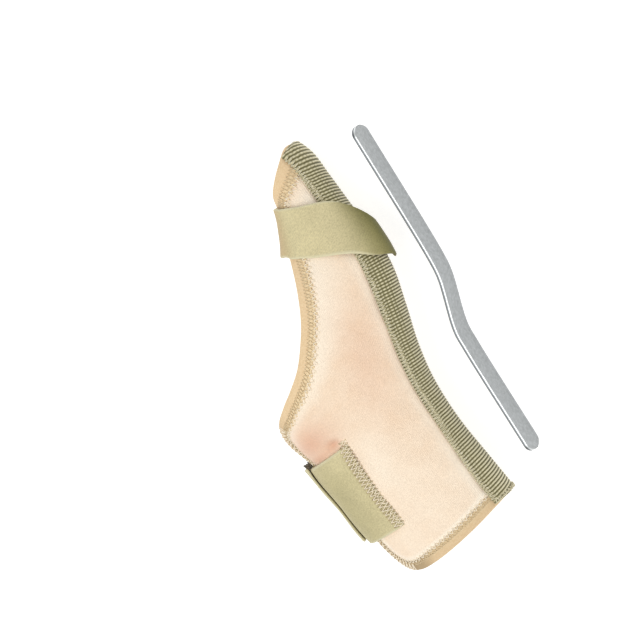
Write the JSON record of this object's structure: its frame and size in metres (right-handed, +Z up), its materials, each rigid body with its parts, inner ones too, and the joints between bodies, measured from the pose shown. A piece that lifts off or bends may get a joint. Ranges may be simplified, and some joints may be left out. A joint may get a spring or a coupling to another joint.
{
  "type": "wrist and finger brace",
  "caption": "A beige neoprene wrist and thumb brace with tape-bound flaps, a ribbed stay channel, loop straps and a bent metal stay lying beside it.",
  "frame": {"origin": "the middle of the brace's bounding box, on the surface that it lies on", "axes": "+Y from the forearm rim to the thumb's tip, +X towards the thumb side and the stay, +Z up out of the palm side"},
  "size_m": [0.1218, 0.1932, 0.0464],
  "materials": {
    "neoprene": "cream jersey over foam, matt",
    "binding_tape": "tan knitted tape, zigzag stitched",
    "ribbed_elastic": "olive tan, ribbed across",
    "loop_fabric": "brushed loop pile, olive beige",
    "aluminium": "satin, rounded ends"
  },
  "bodies": {
    "root": {"palmar_flap": "neoprene", "dorsal_flap": "neoprene", "palmar_binding": "binding_tape", "dorsal_binding": "binding_tape", "stay_channel": "ribbed_elastic", "thumb_strap": "loop_fabric", "wrist_strap": "loop_fabric", "wrist_tab": "loop_fabric", "stay": "aluminium"}
  },
  "joints": []
}
